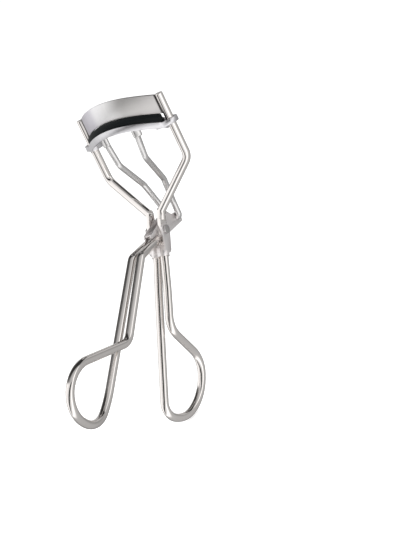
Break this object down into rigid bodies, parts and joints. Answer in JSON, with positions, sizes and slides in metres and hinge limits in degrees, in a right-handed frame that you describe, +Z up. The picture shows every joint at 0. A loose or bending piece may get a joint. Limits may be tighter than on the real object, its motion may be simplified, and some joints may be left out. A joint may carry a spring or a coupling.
{
  "type": "eyelash curler",
  "caption": "Hand-held eyelash curler: bent-wire frame with a curved upper jaw, and a wire lever with a finger loop that raises a padded lower jaw.",
  "frame": {"origin": "on the ground, below the middle of the curler's bounding box, jaws up", "axes": "+X along the hinge pin, across the jaws; +Z up along the guide rods; +Y towards the user's face, so the jaws bulge and the handles lean towards -Y"},
  "size_m": [0.0358, 0.0862, 0.0956],
  "materials": {
    "polished_wire": "polished",
    "brushed_jaw": "fine satin brushing along the jaw",
    "lower_jaw_steel": "satin",
    "link_steel": "satin",
    "bracket_sheet": "satin",
    "rivet_steel": "polished",
    "pad_silicone": "smooth, slightly shiny"
  },
  "bodies": {
    "frame": {"frame_wire": "polished_wire", "upper_jaw": "brushed_jaw", "frame_ferrule": "bracket_sheet", "hinge_pin": "rivet_steel"},
    "lever": {"lever_wire": "polished_wire", "lever_bracket": "bracket_sheet"},
    "lower_jaw_set": {"lower_jaw": "lower_jaw_steel", "lash_pad": "pad_silicone", "link_wire_left": "link_steel", "link_wire_right": "link_steel"}
  },
  "joints": [
    {"name": "lever_pivot", "type": "hinge", "parent": "frame", "child": "lever", "pos_m": [0, 0.03035, 0.05245], "axis": [1, 0, 0], "range_deg": [-36, 0]},
    {"name": "link_pivot", "type": "hinge", "parent": "lever", "child": "lower_jaw_set", "pos_m": [0, 0.04105, 0.05205], "axis": [1, 0, 0], "range_deg": [-1, 34]}
  ],
  "couplings": [
    {"joint": "link_pivot", "follows": "lever_pivot", "ratio": -0.899}
  ]
}
